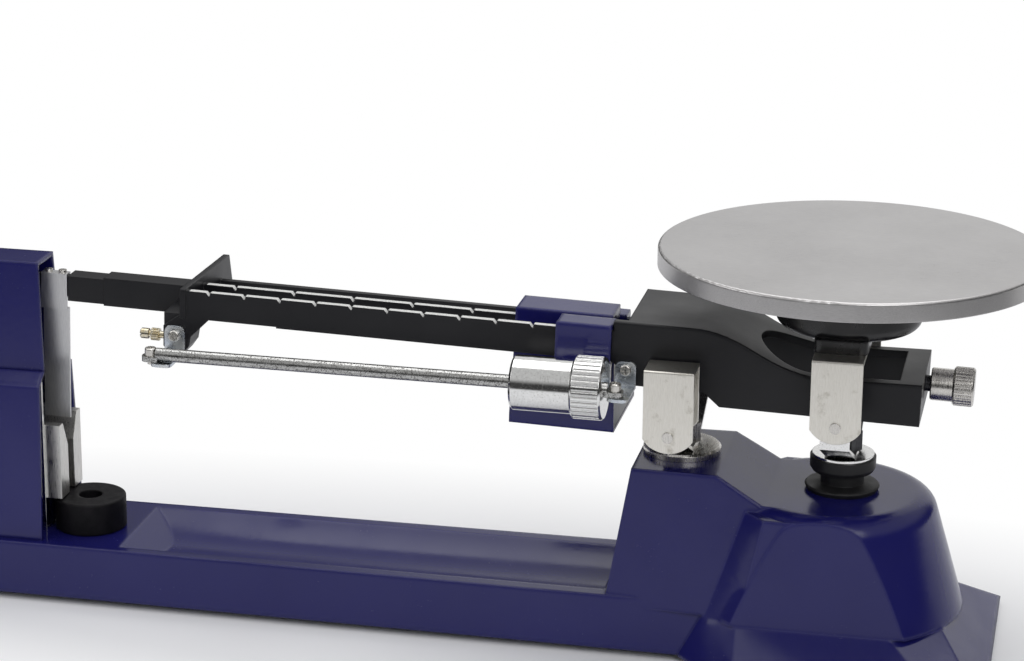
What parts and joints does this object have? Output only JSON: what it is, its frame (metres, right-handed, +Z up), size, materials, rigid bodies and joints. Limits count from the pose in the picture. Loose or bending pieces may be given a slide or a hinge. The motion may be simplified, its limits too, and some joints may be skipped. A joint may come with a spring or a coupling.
{
  "type": "triple beam balance",
  "caption": "Laboratory balance with a round pan at one end, three stepped beams with sliding poises, a tare cylinder on a rod and a magnetically damped pointer end.",
  "frame": {"origin": "centre of the bounding box at the floor, under the soles of the rubber feet", "axes": "+X along the beam from the pan to the pointer, +Y to the side with the tare rod, +Z up"},
  "size_m": [0.5, 0.152, 0.167],
  "materials": {
    "blue_paint": "gloss",
    "black_beam": "satin",
    "black_hub": "satin",
    "pan_steel": "satin",
    "nickel_sheet": "satin",
    "plated_steel": "polished",
    "bright_steel": "satin",
    "hard_steel": "satin",
    "bearing_stone": "gloss",
    "black_rubber": "matte",
    "zinc_sheet": "satin",
    "vane_metal": "satin",
    "bare_casting": "satin",
    "brassy_nickel": "satin",
    "white_paint": "satin",
    "dark_iron": "matte",
    "magnet_metal": "satin",
    "black_steel": "matte"
  },
  "bodies": {
    "base": {"base_casting": "blue_paint", "rubber_feet": "black_rubber", "main_washer": "bright_steel", "main_yoke": "plated_steel", "main_yoke_bolt": "bright_steel", "main_agates": "bearing_stone", "main_bearing_caps": "nickel_sheet", "main_cap_rivets": "bright_steel", "rubber_stop": "black_rubber", "check_link_shaft": "hard_steel", "housing_lower": "blue_paint", "housing_cover": "blue_paint", "scale_plate": "white_paint", "damper_yoke": "plated_steel", "damper_magnets": "magnet_metal"},
    "beam": {"beam_casting": "black_beam", "main_knife": "hard_steel", "pan_knife": "hard_steel", "damper_vane": "vane_metal", "vane_screws": "bright_steel", "pointer": "black_steel", "tare_bracket_right": "zinc_sheet", "tare_bracket_left": "zinc_sheet", "bracket_screws": "bright_steel", "tare_rod": "plated_steel", "rod_screws": "bright_steel", "trim_screw": "brassy_nickel", "knob_stud": "black_steel"},
    "trim_nut": {"trim_nut": "brassy_nickel"},
    "zero_knob": {"zero_knob": "bright_steel"},
    "poise_500g": {"poise_500g": "blue_paint", "poise_500g_weight": "bare_casting", "poise_500g_index": "hard_steel"},
    "poise_100g": {"poise_100g": "blue_paint", "poise_100g_index": "hard_steel"},
    "poise_10g": {"poise_10g": "blue_paint", "poise_10g_spring": "bright_steel"},
    "tare_poise": {"tare_poise": "plated_steel"},
    "tare_lock_ring": {"tare_lock_ring": "plated_steel"},
    "carrier": {"carrier_frame": "nickel_sheet", "carrier_agates": "bearing_stone", "carrier_yoke": "plated_steel", "carrier_rivets": "bright_steel", "carrier_washer": "plated_steel", "carrier_stem": "black_steel", "carrier_stem_pin": "hard_steel", "pan_hub": "black_hub"},
    "pan": {"pan": "pan_steel"},
    "check_link": {"check_link": "hard_steel"},
    "attachment_weight": {"attachment_weight": "dark_iron"}
  },
  "joints": [
    {"name": "beam_tilt", "type": "hinge", "parent": "base", "child": "beam", "pos_m": [-0.109, 0, 0.117], "axis": [0, 1, 0], "range_deg": [0, 3.2]},
    {"name": "carrier_swing", "type": "hinge", "parent": "beam", "child": "carrier", "pos_m": [-0.17397, 0, 0.11518], "axis": [0, 1, 0], "range_deg": [-3.2, 0]},
    {"name": "check_link_swing", "type": "hinge", "parent": "base", "child": "check_link", "pos_m": [-0.109, 0, 0.03], "axis": [0, 1, 0], "range_deg": [0, 3.2]},
    {"name": "pan_lift", "type": "slide", "parent": "carrier", "child": "pan", "axis": [0, 0, 1], "range_m": [0, 0.03]},
    {"name": "poise_500g_slide", "type": "slide", "parent": "beam", "child": "poise_500g", "axis": [0.9996, 0, 0.0279], "range_m": [0, 0.125]},
    {"name": "poise_100g_slide", "type": "slide", "parent": "beam", "child": "poise_100g", "axis": [0.9996, 0, 0.0279], "range_m": [0, 0.1483]},
    {"name": "poise_10g_slide", "type": "slide", "parent": "beam", "child": "poise_10g", "axis": [0.9996, 0, 0.0279], "range_m": [0, 0.149]},
    {"name": "tare_slide", "type": "slide", "parent": "beam", "child": "tare_poise", "axis": [1, 0, 0.0045], "range_m": [0, 0.13]},
    {"name": "tare_ring_turn", "type": "hinge", "parent": "tare_poise", "child": "tare_lock_ring", "pos_m": [-0.09135, 0.0412, 0.11549], "axis": [1, 0, 0.0045], "continuous": true},
    {"name": "zero_knob_turn", "type": "hinge", "parent": "beam", "child": "zero_knob", "pos_m": [-0.20895, 0, 0.11391], "axis": [0.9996, 0, 0.0279], "continuous": true},
    {"name": "trim_nut_turn", "type": "hinge", "parent": "beam", "child": "trim_nut", "pos_m": [0.10507, 0.019, 0.11758], "axis": [0.9996, 0, 0.0279], "continuous": true},
    {"name": "attachment_weight_slide", "type": "slide", "parent": "base", "child": "attachment_weight", "axis": [-1, 0, 0], "range_m": [0, 0.02]}
  ],
  "couplings": [
    {"joint": "carrier_swing", "follows": "beam_tilt", "ratio": -1},
    {"joint": "check_link_swing", "follows": "beam_tilt", "ratio": 1}
  ]
}
